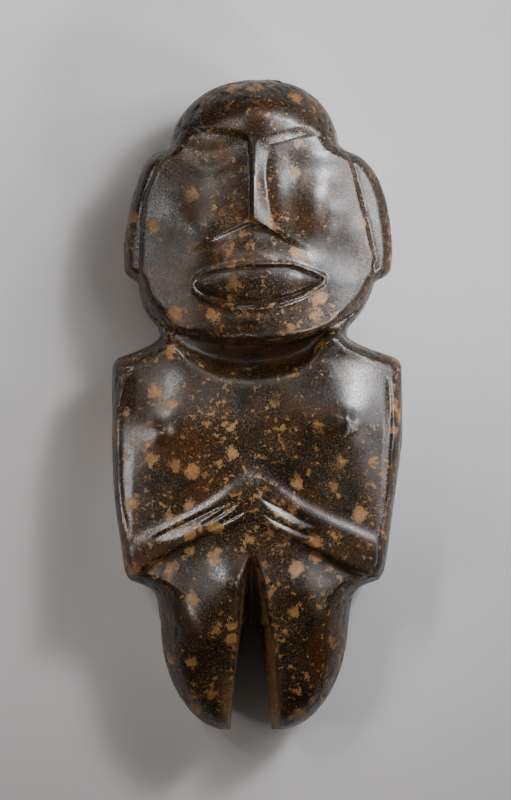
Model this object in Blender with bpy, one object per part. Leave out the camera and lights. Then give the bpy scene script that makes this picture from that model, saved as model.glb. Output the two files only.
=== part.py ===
"""Carved stone figurine of a standing woman, lying on its back.

The figure lies along Y with its head towards +Y and its front upwards. Every
proportion is a share of the height, in hundredths: x runs across the figure
from its middle, y from the toes (0) to the crown (100), z from the back up.
"""

import math

import bmesh
import bpy
import numpy as np

HEIGHT = 0.250  # toes to crown, metres
UNIT = HEIGHT / 100
FACETS = 9200  # triangles of the finished solid
COLUMNS = 80  # points across each quarter of a section, before the facets

# The back is ground away up to this level, which leaves the flat it lies on.
GROUND_LEVEL = 0.30

# Outline: superellipses for the crown and the legs, stations between them.
CROWN_DEPTH = 9.4
CROWN_RADIUS = 12.0
CROWN_HALF = 13.1
CROWN_POWER = 2.2
LEG_TOP = 16.0
TOE_HALF = 4.2
LEG_SWELL = 10.2
LEG_POWER = 1.9
HIP_STATIONS = [(16.0, 14.4), (19.3, 14.9), (20.8, 15.3), (21.9, 16.15), (22.6, 17.6)]
TRUNK_STATIONS = [
    (23.2, 19.1), (24.5, 19.9), (29.5, 20.7), (38.5, 21.8), (47.0, 22.35), (55.6, 22.3),
]
NECK_STATIONS = [(57.0, 21.7), (58.6, 17.9), (59.7, 15.5), (60.8, 14.4), (61.8, 14.6)]
JAW_STATIONS = [(63.5, 16.0), (65.6, 17.2), (67.6, 17.9), (68.8, 18.2)]
EAR_STATIONS = [(70.0, 19.9), (70.9, 20.5), (73.9, 20.65), (80.0, 19.9), (84.7, 18.5), (87.2, 17.1)]
TEMPLE_STATIONS = [(88.3, 15.9), (89.2, 13.9), (90.2, 12.95), (91.0, 12.7)]

# The leg slot: sawn in from front and back, right through below HOLE_TOP.
CENTRE_X = -0.9
FRONT_APEX = 27.8
BACK_APEX = 24.0
HOLE_TOP = 16.6
WEB_SHARE = 0.07

# Face.
RIDGE_X = -0.4
FACE_KEEL = 0.10
FOREHEAD = 92.5
EYE_DEPTH = 0.95
LID = (-7.2, 86.1)
NOSE_RISE = 1.3
TENT_TOP = 77.9
TENT_SLOPE = 0.50
MOUTH_ENDS = (-9.8, 10.4)
MUZZLE_CENTRE = (0.3, 68.3)
MUZZLE_RADII = (13.2, 5.7)
EAR_ENDS = (69.0, 88.6)

# Front of the body.
BREASTS = [(-14.0, 45.9), (13.6, 47.7)]
BREAST_RADII = (5.6, 6.4)

# Finger and forearm grooves: start, end, sag, width of the lower slope, depth.
HAND_GROOVES = [
    ((-15.9, 29.8), (-4.4, 35.3), 0.10, 1.75, 0.68),
    ((-8.8, 31.7), (-2.4, 35.4), 0.10, 0.75, 0.42),
    ((-8.6, 30.4), (-1.5, 34.2), 0.10, 0.85, 0.45),
    ((0.1, 37.3), (8.2, 32.6), -0.10, 0.80, 0.40),
    ((0.3, 36.3), (9.2, 31.6), -0.05, 1.35, 0.62),
    ((0.8, 33.7), (8.8, 29.9), -0.05, 1.05, 0.55),
]
GROOVE_WALL = 0.28
HANDS_TOP = 41
CHEST_TOP = 54
CROWN_FOOT = 94
ARM_DEPTH = 0.40
ARM_WALL = 0.35


def curve_through(stations):
    """Smooth curve through (place, value) stations that never swings past them."""
    place, value = (np.array(column, float) for column in zip(*stations))
    step = np.diff(place)
    slope = np.diff(value) / step
    tangent = np.zeros_like(value)
    tangent[0] = slope[0]
    tangent[-1] = slope[-1]
    same_way = slope[:-1] * slope[1:] > 0
    before = slope[:-1][same_way]
    after = slope[1:][same_way]
    tangent[1:-1][same_way] = 2 * before * after / (before + after)

    def curve(at):
        at = np.clip(at, place[0], place[-1])
        i = np.clip(np.searchsorted(place, at, side="right") - 1, 0, len(step) - 1)
        t = (at - place[i]) / step[i]
        start = (2 * t**3 - 3 * t**2 + 1) * value[i] + (t**3 - 2 * t**2 + t) * tangent[i] * step[i]
        end = (3 * t**2 - 2 * t**3) * value[i + 1] + (t**3 - t**2) * tangent[i + 1] * step[i]
        return start + end

    return curve


def rise(distance, softness):
    """A soft step from 0 to 1 where the distance passes 0."""
    return 0.5 * (1 + np.tanh(distance / softness))


def between(value, low, high, softness):
    return rise(value - low, softness) * rise(high - value, softness)


def roll_over(t):
    """From 0 to 1, steeper and steeper, and flat again past a crease."""
    return np.clip(t, 0, 1) ** 1.15


def stripe(distance, width):
    """A soft ridge along the line where the distance is 0."""
    return np.exp(-((distance / width) ** 2))


def mound(x, y, centre, radii):
    return stripe(x - centre[0], radii[0]) * stripe(y - centre[1], radii[1])


def smooth_max(a, b, radius):
    return 0.5 * (a + b + np.sqrt((a - b) ** 2 + radius**2))


def smooth_min(a, b, radius):
    return -smooth_max(-a, -b, radius)


# Outline.

side_width = curve_through(
    HIP_STATIONS + TRUNK_STATIONS + NECK_STATIONS + JAW_STATIONS + EAR_STATIONS + TEMPLE_STATIONS
)

# The two sides aren't quite alike: how far the middle of each level lies off the axis.
side_drift = curve_through(
    [
        (0, -0.6), (20, -0.4), (33, -0.4), (47, 0), (57, 0),
        (62, -0.6), (72, 0.15), (84, 0.3), (90, -0.4), (100, 0.2),
    ]
)


def half_width(y):
    into_crown = np.clip((y - 100 + CROWN_RADIUS) / CROWN_RADIUS, 0, 1)
    crown = CROWN_HALF * (1 - into_crown**CROWN_POWER) ** (1 / CROWN_POWER)
    down_leg = np.clip((LEG_TOP - y) / LEG_TOP, 0, 1)
    leg = TOE_HALF + LEG_SWELL * (1 - down_leg**LEG_POWER) ** (1 / LEG_POWER)
    return np.where(y > 100 - CROWN_DEPTH, crown, np.where(y < LEG_TOP, leg, side_width(y)))


def inset(x, y):
    """Distance in from the outline, no more than REACH; y is one value per row of x."""
    reach = 9.0
    level = np.concatenate([1 - np.cos(np.linspace(0, math.pi / 2, 9))[:-1], np.linspace(1, 98, 150)])
    level = np.concatenate([level, 100 - 2 * (1 - np.sin(np.linspace(0, math.pi / 2, 12)))[1:]])
    width = half_width(level)
    from_axis = np.abs(x - side_drift(y))
    nearest = np.minimum(np.abs(half_width(y) - from_axis), np.minimum(y, reach))
    for k in range(len(level) - 1):
        rows = np.flatnonzero(np.abs(y[:, 0] - level[k]) < reach + 1)
        if len(rows) == 0:
            continue
        across = from_axis[rows] - width[k]
        along = y[rows] - level[k]
        run = (width[k + 1] - width[k], level[k + 1] - level[k])
        t = np.clip((across * run[0] + along * run[1]) / (run[0] ** 2 + run[1] ** 2), 0, 1)
        gap = np.hypot(across - t * run[0], along - t * run[1])
        nearest[rows] = np.minimum(nearest[rows], gap)
    return nearest


# Broad form: level of the front and back along the axis, how far they fall
# away sideways, and how wide their rounded rims are.

middle_level = curve_through(
    [
        (0, 7.6), (14, 8.2), (28, 8.6), (60, 8.6),
        (75, 9.4), (92, 9.8), (100, 10.4),
    ]
)
front_level = curve_through(
    [
        (0, 14.2), (6, 15.3), (12, 16.3), (19, 17.2), (34, 17.6),
        (46, 17.8), (57, 16.4), (62, 18.4), (80, 19.2), (93, 18.8), (100, 17),
    ]
)
front_fall = curve_through(
    [
        (0, 2.5), (20, 2.2), (30, 1.8), (44, 2.6), (56, 3.4),
        (62, 4.2), (80, 4.8), (92, 4.0), (100, 1.0),
    ]
)
fall_power = curve_through([(0, 2.4), (57, 2.4), (62, 1.9), (92, 1.9), (100, 2.4)])
front_rim = curve_through(
    [
        (0, 4.8), (14, 7.0), (20, 6.0), (26, 2.4), (56, 2.4),
        (62, 3.6), (70, 2.0), (87, 2.0), (90, 3.4), (93, 6.2), (97, 8.2), (100, 9.0),
    ]
)
rim_power = curve_through([(0, 2.1), (20, 2.1), (26, 2.9), (56, 2.9), (62, 2.3), (100, 2.3)])
back_level = curve_through(
    [
        (0, 3.2), (6, 2.2), (12, 1.2), (20, 0.4),
        (28, 0), (84, 0), (92, 0.7), (100, 1.8),
    ]
)
back_fall = curve_through([(0, 0.8), (60, 0.9), (66, 1.6), (92, 2.4), (100, 1.0)])
back_rim = curve_through([(0, 4.0), (14, 5.0), (56, 4.6), (64, 5.5), (92, 8.0), (100, 8.5)])


def rim_rounding(depth, width, power):
    t = np.clip(depth / width, 0, 1)
    return (1 - (1 - t) ** power) ** (1 / power)


# Leg slot.

slot_left = curve_through(
    [
        (0, 3.55), (2.5, 3.5), (7, 2.9), (12, 2.3),
        (16, 2.0), (20, 1.75), (24, 1.1), (27.8, 0.25),
    ]
)
slot_right = curve_through(
    [
        (0, 4.4), (4, 4.3), (9, 4.1), (13, 3.7),
        (17, 3.1), (21, 2.4), (24, 1.8), (27.8, 0.7),
    ]
)
wall_power = curve_through([(0, 1.1), (10, 1.3), (16.7, 2.0), (29, 2.0)])


def hole_half_width(y):
    below = np.clip(HOLE_TOP - y, 0, None)
    return 0.85 * np.sqrt(below) - 0.018 * below


def slot_cut(x, y, top, apex):
    """Level of the sawn slot over the middle plane."""
    aside = np.abs(x - CENTRE_X)
    lip = np.where(x < CENTRE_X, slot_left(y), slot_right(y))
    hole = hole_half_width(y)
    sunk = np.clip((apex - y) / (apex - HOLE_TOP), 0, 1)
    web = top * (1 - (1 - WEB_SHARE) * np.sin(sunk * math.pi / 2) ** 1.15)
    floor = np.where(y < HOLE_TOP, 0, web)
    share = np.clip((aside - hole) / (lip - hole), 0, 1)
    return floor + (top - floor) * share ** wall_power(y) + 1.5 * np.clip(aside - lip, 0, None)


# Head.

brow_line = curve_through(
    [
        (-16, 92.9), (-12, 92.9), (-7.2, 92.3), (-3.4, 91.8), (-1, 91.2),
        (0.5, 90.9), (2.8, 91.4), (4.7, 91.9), (6.6, 92.4), (9.5, 92.7), (16, 92.6),
    ]
)
nose_flank_left = curve_through([(75, 0.9), (78, 0.7), (84, 0.6), (87, 0.8), (90, 0.8)])
nose_flank_right = curve_through(
    [(75, 2.9), (78.2, 2.5), (80.5, 2.1), (83.2, 1.7), (85.4, 1.5), (88, 1.7)]
)
upper_lip = curve_through(
    [
        (-9.8, 68.3), (-9, 69.2), (-7.4, 70), (-1.85, 70.95),
        (4.6, 71.1), (7.4, 70.3), (10.4, 69.1),
    ]
)
lower_lip = curve_through(
    [
        (-9.8, 68.2), (-9, 67.2), (-7.4, 66.3), (-2.8, 65.4),
        (1.9, 65.6), (6, 66.6), (10.4, 69.0),
    ]
)
ear_line_left = curve_through(
    [
        (66, 17.9), (76.3, 17.7), (80.9, 17.3),
        (84, 16.2), (88.1, 14.2), (92, 12.0),
    ]
)
ear_line_right = curve_through(
    [
        (66, 17.9), (72.1, 18.0), (75.5, 17.3),
        (80.1, 16.3), (88.1, 14.0), (92, 12.0),
    ]
)
jaw_line = curve_through(
    [
        (-18, 66), (-13.4, 61.9), (-8.8, 60.4), (-3.9, 59.8),
        (1.9, 59.8), (6.9, 60.5), (10.6, 61.9), (18, 66.5),
    ]
)
collar_line = curve_through(
    [
        (-16, 60.9), (-12.9, 59.2), (-9.4, 56.9), (-5.5, 55.2), (-1, 54.7),
        (3.4, 55.2), (7.4, 56.9), (11.3, 60.4), (16, 61.8),
    ]
)


def brow_and_nose(x, y, above_tent):
    """Sunk eye planes, the T of brow and nose rolling over to them, and the eyelids."""
    aside = x - RIDGE_X
    keel = -0.09 * (np.sqrt((aside - 0.8) ** 2 + 0.5) - 0.7) * rise(y - FOREHEAD, 1.5)
    outside = -smooth_max(y - brow_line(x), -np.abs(aside), 1.2)
    flank = nose_flank_left(y) + (nose_flank_right(y) - nose_flank_left(y)) * rise(aside, 0.3)
    down = roll_over(outside / flank)
    depth = EYE_DEPTH * (0.90 + 0.10 * np.tanh(x / 3)) * (1 - 0.30 * np.clip(np.abs(x) / 14, 0, 1) ** 2)
    eye_plane = depth * stripe(y - FOREHEAD + 1, 9.0)
    nose = NOSE_RISE * rise(84.0 - y, 3.2) * above_tent
    above_lid = y - LID[1] - 0.075 * (x - LID[0]) ** 2
    lid = 0.09 * stripe(above_lid + 0.2, 1.0) - 0.15 * stripe(above_lid - 2.2, 1.3)
    lid = lid * stripe(x - LID[0], 4.4)
    right_eye = 0.30 * mound(x, y, (8.8, 88.0), (3.4, 1.9)) + 0.35 * mound(x, y, (3.0, 82.2), (2.0, 5.0))
    return keel + nose * (1 - down) - eye_plane * down + lid + right_eye


def mouth(x, y):
    """A lens sunk behind crisp lips, its floor swelling in the middle."""
    top = upper_lip(x)
    bottom = lower_lip(x)
    gape = np.maximum(top - bottom, 0.05)
    up = np.clip((y - bottom) / gape, 0, 1)
    floor = 1.05 - 0.70 * np.clip(4 * up * (1 - up), 0, 1) ** 0.8
    inside = rise(np.minimum(top - y, y - bottom), 0.14)
    lips = 0.28 * stripe(y - top - 0.30, 0.42) + 0.30 * stripe(bottom - 0.25 - y, 0.42)
    chin_crease = 0.30 * stripe(bottom - 1.3 - y, 0.8) * stripe(x - 1, 8)
    span = between(x, MOUTH_ENDS[0], MOUTH_ENDS[1], 0.12)
    return (lips - chin_crease - floor * inside * np.clip(gape / 3.5, 0, 1)) * span


def head(x, y):
    tent = TENT_TOP - TENT_SLOPE * np.sqrt((x - CENTRE_X) ** 2 + 0.1)
    below_tent = rise(tent - y, 0.20)
    z = brow_and_nose(x, y, 1 - below_tent)
    near_nose = np.exp(-((np.abs(x - CENTRE_X) / 5.2) ** 2.5)) * stripe(np.clip(tent - y, 0, None), 3.0)
    z -= 1.3 * near_nose * below_tent
    z += 1.2 * mound(x, y, (-8.6, 75.8), (4.6, 5.2)) + 1.1 * mound(x, y, (10.0, 80.6), (4.4, 5.0))
    muzzle_x = (x - MUZZLE_CENTRE[0]) / MUZZLE_RADII[0]
    muzzle_y = np.clip(y - MUZZLE_CENTRE[1], 0, None) / MUZZLE_RADII[1]
    z += (0.80 + 0.25 * np.tanh(x / 6)) * rise(1 - np.hypot(muzzle_x, muzzle_y), 0.25)
    z += mouth(x, y)
    z -= FACE_KEEL * (np.sqrt((x - RIDGE_X) ** 2 + 1) - 1)
    past_ear_line = np.abs(x) - np.where(x < 0, ear_line_left(y), ear_line_right(y))
    ear = 0.40 * rise(past_ear_line, 0.22) + 0.12 * stripe(past_ear_line - 0.1, 0.35)
    return z - ear * between(y, EAR_ENDS[0], EAR_ENDS[1], 0.35)


def neck(x, y):
    """The deep groove between the jaw and the collar."""
    depth = 3.9 * np.exp(-((np.abs(x) / 13.0) ** 4)) + 0.5
    return -depth * rise(jaw_line(x) - y, 0.30) * rise(y - collar_line(x) - 0.5, 0.9)


# Body.

band_low = curve_through(
    [
        (-19.5, 23.2), (-14.3, 27.1), (-7.9, 30.2), (-2.0, 32.3), (-0.4, 32.7),
        (1, 31.9), (6.4, 29.2), (14, 25.3), (19.5, 22.3),
    ]
)
band_high = curve_through(
    [
        (-19.5, 29.5), (-9.4, 34.5), (-5, 37.4), (-2.5, 39.2), (-0.4, 40.4),
        (0.6, 39.9), (3.4, 38), (7.4, 35.3), (19.5, 29.6),
    ]
)
arm_left_outer = curve_through(
    [
        (29.5, 19.3), (32.7, 20.2), (35.7, 20.7), (40.1, 21.0),
        (44.0, 21.1), (49.0, 21.0), (52.7, 20.6), (55.4, 19.8),
    ]
)
arm_left_inner = curve_through([(29.5, 19.2), (33.6, 19.0), (41.3, 18.9), (49.0, 18.7), (55.4, 18.5)])
arm_right_outer = curve_through(
    [(27.0, 18.7), (33.4, 19.3), (38.5, 19.8), (45.5, 20.3), (51.0, 20.4), (54.2, 20.1)]
)
arm_right_inner = curve_through([(27.0, 18.3), (33.4, 18.3), (38.5, 18.6), (45.5, 19.2), (54.2, 19.6)])


def hand_groove(x, y, start, end, sag, width, depth):
    """A groove ground along a line, with a short upper wall and a long lower slope."""
    run = end[0] - start[0]
    fall = end[1] - start[1]
    t = (x - start[0]) / run
    on = np.clip(4 * t * (1 - t), 0, 1)
    off = (y - start[1] - fall * t - sag * on) * math.cos(math.atan2(fall, abs(run)))
    wall = np.clip(1 - off / GROOVE_WALL, 0, 1)
    reach = width * (0.15 + 0.85 * on) * (1.25 - 0.5 * np.clip(t, 0, 1))
    slope = np.clip(1 + off / reach, 0, 1)
    return -depth * on**0.8 * np.where(off > 0, wall, slope**1.1)


def arm_groove(x, y, side, outer, inner, ends):
    """A crescent that slopes down from the chest to a short wall along the arm."""
    out = outer(y)
    into = inner(y)
    slope = np.clip((side * x - into) / np.maximum(out - into, 0.05), 0, 1)
    wall = np.clip((out - side * x) / ARM_WALL + 1, 0, 1)
    depth = ARM_DEPTH * np.clip((out - into) / 1.2, 0, 1) * between(y, ends[0], ends[1], 0.3)
    return -depth * np.minimum(slope, wall)


def body(x, y):
    z = -0.75 * mound(x, y, (-0.8, 47.5), (5.5, 8.5))
    for centre in BREASTS:
        out = np.hypot((x - centre[0]) / BREAST_RADII[0], (y - centre[1]) / BREAST_RADII[1])
        z += 0.9 * np.exp(-(out**1.7)) + 0.70 * mound(x, y, centre, (1.2, 1.5))
    low = band_low(x)
    high = band_high(x)
    outwards = np.clip(np.abs(x) / 16, 0, 1)
    z -= (0.35 + 0.75 * outwards) * rise(low - y, 0.35) * stripe(np.clip(low - y, 0, None), 6.0)
    upper_edge = 0.9 + 1.1 * stripe(x - RIDGE_X, 3.0)
    z += 0.55 * rise(y - low, 0.5) * rise(high - 0.5 - y, upper_edge)
    for cut in HAND_GROOVES:
        z += hand_groove(x, y, *cut)
    z += 0.12 * stripe(x - RIDGE_X, 0.6) * between(y, 33.5, 40, 1.0)
    z += arm_groove(x, y, -1, arm_left_outer, arm_left_inner, (29.5, 55.6))
    z += arm_groove(x, y, 1, arm_right_outer, arm_right_inner, (27.0, 54.4))
    z += 1.05 * mound(x, y, (-3.8, 22.4), (3.8, 3.8)) + 0.90 * mound(x, y, (-8.6, 15.8), (4.4, 5.0))
    z += 0.50 * mound(x, y, (5.0, 22.6), (4.0, 3.2)) + 0.65 * mound(x, y, (9.0, 18.6), (4.8, 5.6))
    return z


# Whole surfaces.


def front(x, y):
    rim = rim_rounding(inset(x, y), front_rim(y), rim_power(y))
    crown = front_level(y) - front_fall(y) * np.clip(np.abs(x) / 20, 0, 1.2) ** fall_power(y)
    on_head = rise(y - jaw_line(x) + 0.4, 0.15)
    relief = head(x, y) * on_head + body(x, y) * rise(57 - y, 1.5) + neck(x, y)
    top = (crown - middle_level(y)) * rim
    z = top + relief * np.clip(rim * 1.3 - 0.3, 0, 1)
    cut = slot_cut(x, y, np.maximum(top, 0.01), FRONT_APEX)
    z = np.where(y < FRONT_APEX, smooth_min(z, cut, 0.12), z)
    return middle_level(y) + np.maximum(z, 0)


def back(x, y):
    rim = rim_rounding(inset(x, y), back_rim(y), 2.3)
    deep = middle_level(y) - back_level(y) - back_fall(y) * np.clip(np.abs(x) / 20, 0, 1.2) ** 2.6
    notches = 1.3 * stripe(y - 60.4, 1.7) + 0.7 * stripe(y - 22.0, 1.6)
    z = deep * rim - notches * np.clip(rim * 1.3 - 0.3, 0, 1)
    cut = slot_cut(x, y, np.maximum(deep * rim, 0.01), BACK_APEX)
    z = np.where(y < BACK_APEX, smooth_min(z, cut, 0.12), z)
    return middle_level(y) - np.maximum(z, 0)


def levels():
    """Rows of points from toes to crown, closer where the stone curves or is carved."""
    quarter = np.linspace(0, math.pi / 2, 13)
    toes = 3 * (1 - np.cos(quarter))
    legs = np.linspace(3, HOLE_TOP, 25)[1:]
    hands = np.linspace(HOLE_TOP, HANDS_TOP, 91)[1:]
    chest = np.linspace(HANDS_TOP, CHEST_TOP, 27)[1:]
    face = np.linspace(CHEST_TOP, CROWN_FOOT, 141)[1:]
    crown = CROWN_FOOT + (100 - CROWN_FOOT) * np.sin(quarter)[1:]
    return np.concatenate([toes, legs, hands, chest, face, crown])[:, None]


def quarter_section(y, side, surface, columns):
    """From the outline to the middle of the figure, in even steps along the stone."""
    start = side_drift(y) + side * half_width(y)
    steady = np.clip(half_width(y) / 4, 0, 1)
    end = side_drift(y) + (CENTRE_X - side_drift(y)) * steady + side * hole_half_width(y)
    t = np.linspace(0, 1, 400) ** 1.8
    x = start + (end - start) * t
    z = surface(x, y)
    length = np.hypot(np.diff(x, axis=1), np.diff(z, axis=1)) + 1e-9
    run = np.concatenate([np.zeros_like(y), np.cumsum(length, axis=1)], axis=1)
    even = np.linspace(0, 1, columns + 1)
    x = np.stack([np.interp(even * row[-1], row, across) for row, across in zip(run, x)])
    return x, surface(x, y)


def add_quarter(mesh, side, surface, upwards):
    y = levels()
    x, z = quarter_section(y, side, surface, COLUMNS)
    y = np.broadcast_to(y, x.shape)
    points = np.stack([x, y - 50, z - GROUND_LEVEL], axis=-1) * UNIT
    grid = [[mesh.verts.new(point) for point in row] for row in points]
    for low, high in zip(grid, grid[1:]):
        for i in range(len(low) - 1):
            face = [low[i], low[i + 1], high[i + 1], high[i]]
            if (side > 0) == upwards:
                face.reverse()
            mesh.faces.new(face)
    at_hole_top = int(np.argmin(np.abs(y[:, 0] - HOLE_TOP)))
    return grid[at_hole_top][-1], grid[at_hole_top - 1][-1]


def carved_stone():
    mesh = bmesh.new()
    front_top, left_edge = add_quarter(mesh, -1, front, True)
    _, right_edge = add_quarter(mesh, 1, front, True)
    back_top, _ = add_quarter(mesh, -1, back, False)
    add_quarter(mesh, 1, back, False)
    # the underside of the web, where the slot goes right through
    mesh.faces.new([front_top, left_edge, back_top])
    mesh.faces.new([front_top, back_top, right_edge])
    bmesh.ops.remove_doubles(mesh, verts=mesh.verts, dist=1e-6)
    bmesh.ops.dissolve_degenerate(mesh, dist=1e-6, edges=mesh.edges)
    bmesh.ops.recalc_face_normals(mesh, faces=mesh.faces)
    bmesh.ops.triangulate(mesh, faces=mesh.faces)
    data = bpy.data.meshes.new("figurine")
    mesh.to_mesh(data)
    mesh.free()
    return data


def grinding_bed():
    """The block whose top face cuts the back flat."""
    mesh = bmesh.new()
    bmesh.ops.create_cube(mesh, size=1.0)
    data = bpy.data.meshes.new("grinding_bed")
    mesh.to_mesh(data)
    mesh.free()
    bed = bpy.data.objects.new("grinding_bed", data)
    bed.scale = (0.8 * HEIGHT, 1.4 * HEIGHT, 0.2 * HEIGHT)
    bed.location.z = -0.1 * HEIGHT
    bed.hide_render = True
    bed.display_type = "WIRE"
    bpy.context.scene.collection.objects.link(bed)
    return bed


def stone_material():
    material = bpy.data.materials.new("polished_stone")
    material.use_nodes = True
    shader = material.node_tree.nodes["Principled BSDF"]
    shader.inputs["Base Color"].default_value = (0.075, 0.062, 0.040, 1)
    shader.inputs["Roughness"].default_value = 0.32
    shader.inputs["Metallic"].default_value = 0.0
    return material


def figurine():
    data = carved_stone()
    data.materials.append(stone_material())
    data.shade_smooth()
    data.set_sharp_from_angle(angle=math.radians(50))
    stone = bpy.data.objects.new("figurine", data)
    bpy.context.scene.collection.objects.link(stone)

    facets = stone.modifiers.new("Facets", "DECIMATE")
    facets.decimate_type = "COLLAPSE"
    facets.ratio = FACETS / len(data.polygons)
    facets.use_collapse_triangulate = True

    flat_back = stone.modifiers.new("Flat back", "BOOLEAN")
    flat_back.operation = "DIFFERENCE"
    flat_back.solver = "EXACT"
    flat_back.object = grinding_bed()


for old in list(bpy.data.objects):
    bpy.data.objects.remove(old, do_unlink=True)
figurine()
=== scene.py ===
"""Looks of the carved stone figurine: its finely carved surface, stone, light and camera."""

import math

import bmesh
import bpy
import numpy as np
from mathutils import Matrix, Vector, noise

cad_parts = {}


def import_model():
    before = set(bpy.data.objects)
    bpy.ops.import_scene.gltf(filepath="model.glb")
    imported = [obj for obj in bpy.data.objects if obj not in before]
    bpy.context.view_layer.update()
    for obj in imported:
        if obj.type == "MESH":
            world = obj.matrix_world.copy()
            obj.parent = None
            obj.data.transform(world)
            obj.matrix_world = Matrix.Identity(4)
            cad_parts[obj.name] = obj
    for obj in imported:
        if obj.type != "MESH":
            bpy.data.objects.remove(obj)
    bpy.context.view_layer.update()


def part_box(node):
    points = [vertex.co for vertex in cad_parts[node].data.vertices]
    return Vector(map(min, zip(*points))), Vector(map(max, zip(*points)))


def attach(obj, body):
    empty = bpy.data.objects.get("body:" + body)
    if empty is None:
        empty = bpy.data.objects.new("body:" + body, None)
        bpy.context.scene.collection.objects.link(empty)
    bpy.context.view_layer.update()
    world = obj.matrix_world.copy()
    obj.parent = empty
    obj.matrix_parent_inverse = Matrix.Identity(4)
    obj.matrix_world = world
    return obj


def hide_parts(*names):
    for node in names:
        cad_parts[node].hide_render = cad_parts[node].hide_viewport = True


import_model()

NODE = "figurine"
LOW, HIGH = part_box(NODE)
UNIT = (HIGH[1] - LOW[1]) / 100

# Proportions are in hundredths of the height, as in the part: x runs across
# the figure, y from the toes (0) to the crown (100), z from the back up.
GROUND_LEVEL = 0.30

# Outline: superellipses for the crown and the legs, stations between them.
CROWN_DEPTH = 9.4
CROWN_RADIUS = 12.0
CROWN_HALF = 13.1
CROWN_POWER = 2.2
LEG_TOP = 16.0
TOE_HALF = 4.2
LEG_SWELL = 10.2
LEG_POWER = 1.9
HIP_STATIONS = [(16.0, 14.4), (19.3, 14.9), (20.8, 15.3), (21.9, 16.15), (22.6, 17.6)]
TRUNK_STATIONS = [
    (23.2, 19.1), (24.5, 19.9), (29.5, 20.7), (38.5, 21.8), (47.0, 22.35), (55.6, 22.3),
]
NECK_STATIONS = [(57.0, 21.7), (58.6, 17.9), (59.7, 15.5), (60.8, 14.4), (61.8, 14.6)]
JAW_STATIONS = [(63.5, 16.0), (65.6, 17.2), (67.6, 17.9), (68.8, 18.2)]
EAR_STATIONS = [(70.0, 19.9), (70.9, 20.5), (73.9, 20.65), (80.0, 19.9), (84.7, 18.5), (87.2, 17.1)]
TEMPLE_STATIONS = [(88.3, 15.9), (89.2, 13.9), (90.2, 12.95), (91.0, 12.7)]

# The leg slot: sawn in from front and back, right through below HOLE_TOP.
CENTRE_X = -0.9
FRONT_APEX = 27.8
BACK_APEX = 24.0
HOLE_TOP = 16.6
WEB_SHARE = 0.07

# Face.
RIDGE_X = -0.4
FACE_KEEL = 0.10
FOREHEAD = 92.5
EYE_DEPTH = 0.95
LID = (-7.2, 86.1)
NOSE_RISE = 1.3
TENT_TOP = 77.9
TENT_SLOPE = 0.50
MOUTH_ENDS = (-9.8, 10.4)
MUZZLE_CENTRE = (0.3, 68.3)
MUZZLE_RADII = (13.2, 5.7)
EAR_ENDS = (69.0, 88.6)

# Front of the body.
BREASTS = [(-14.0, 45.9), (13.6, 47.7)]
BREAST_RADII = (5.6, 6.4)

# Finger and forearm grooves: start, end, sag, width of the lower slope, depth.
HAND_GROOVES = [
    ((-15.9, 29.8), (-4.4, 35.3), 0.10, 1.75, 0.68),
    ((-8.8, 31.7), (-2.4, 35.4), 0.10, 0.75, 0.42),
    ((-8.6, 30.4), (-1.5, 34.2), 0.10, 0.85, 0.45),
    ((0.1, 37.3), (8.2, 32.6), -0.10, 0.80, 0.40),
    ((0.3, 36.3), (9.2, 31.6), -0.05, 1.35, 0.62),
    ((0.8, 33.7), (8.8, 29.9), -0.05, 1.05, 0.55),
]
GROOVE_WALL = 0.28
ARM_DEPTH = 0.40
ARM_WALL = 0.35


def curve_through(stations):
    """Smooth curve through (place, value) stations that never swings past them."""
    place, value = (np.array(column, float) for column in zip(*stations))
    step = np.diff(place)
    slope = np.diff(value) / step
    tangent = np.zeros_like(value)
    tangent[0] = slope[0]
    tangent[-1] = slope[-1]
    same_way = slope[:-1] * slope[1:] > 0
    before = slope[:-1][same_way]
    after = slope[1:][same_way]
    tangent[1:-1][same_way] = 2 * before * after / (before + after)

    def curve(at):
        at = np.clip(at, place[0], place[-1])
        i = np.clip(np.searchsorted(place, at, side="right") - 1, 0, len(step) - 1)
        t = (at - place[i]) / step[i]
        start = (2 * t**3 - 3 * t**2 + 1) * value[i] + (t**3 - 2 * t**2 + t) * tangent[i] * step[i]
        end = (3 * t**2 - 2 * t**3) * value[i + 1] + (t**3 - t**2) * tangent[i + 1] * step[i]
        return start + end

    return curve


def rise(distance, softness):
    """A soft step from 0 to 1 where the distance passes 0."""
    return 0.5 * (1 + np.tanh(distance / softness))


def between(value, low, high, softness):
    return rise(value - low, softness) * rise(high - value, softness)


def roll_over(t):
    """From 0 to 1, steeper and steeper, and flat again past a crease."""
    return np.clip(t, 0, 1) ** 1.15


def stripe(distance, width):
    """A soft ridge along the line where the distance is 0."""
    return np.exp(-((distance / width) ** 2))


def mound(x, y, centre, radii):
    return stripe(x - centre[0], radii[0]) * stripe(y - centre[1], radii[1])


def smooth_max(a, b, radius):
    return 0.5 * (a + b + np.sqrt((a - b) ** 2 + radius**2))


def smooth_min(a, b, radius):
    return -smooth_max(-a, -b, radius)


# Outline.

side_width = curve_through(
    HIP_STATIONS + TRUNK_STATIONS + NECK_STATIONS + JAW_STATIONS + EAR_STATIONS + TEMPLE_STATIONS
)

# The two sides aren't quite alike: how far the middle of each level lies off the axis.
side_drift = curve_through(
    [
        (0, -0.6), (20, -0.4), (33, -0.4), (47, 0), (57, 0),
        (62, -0.6), (72, 0.15), (84, 0.3), (90, -0.4), (100, 0.2),
    ]
)


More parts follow.
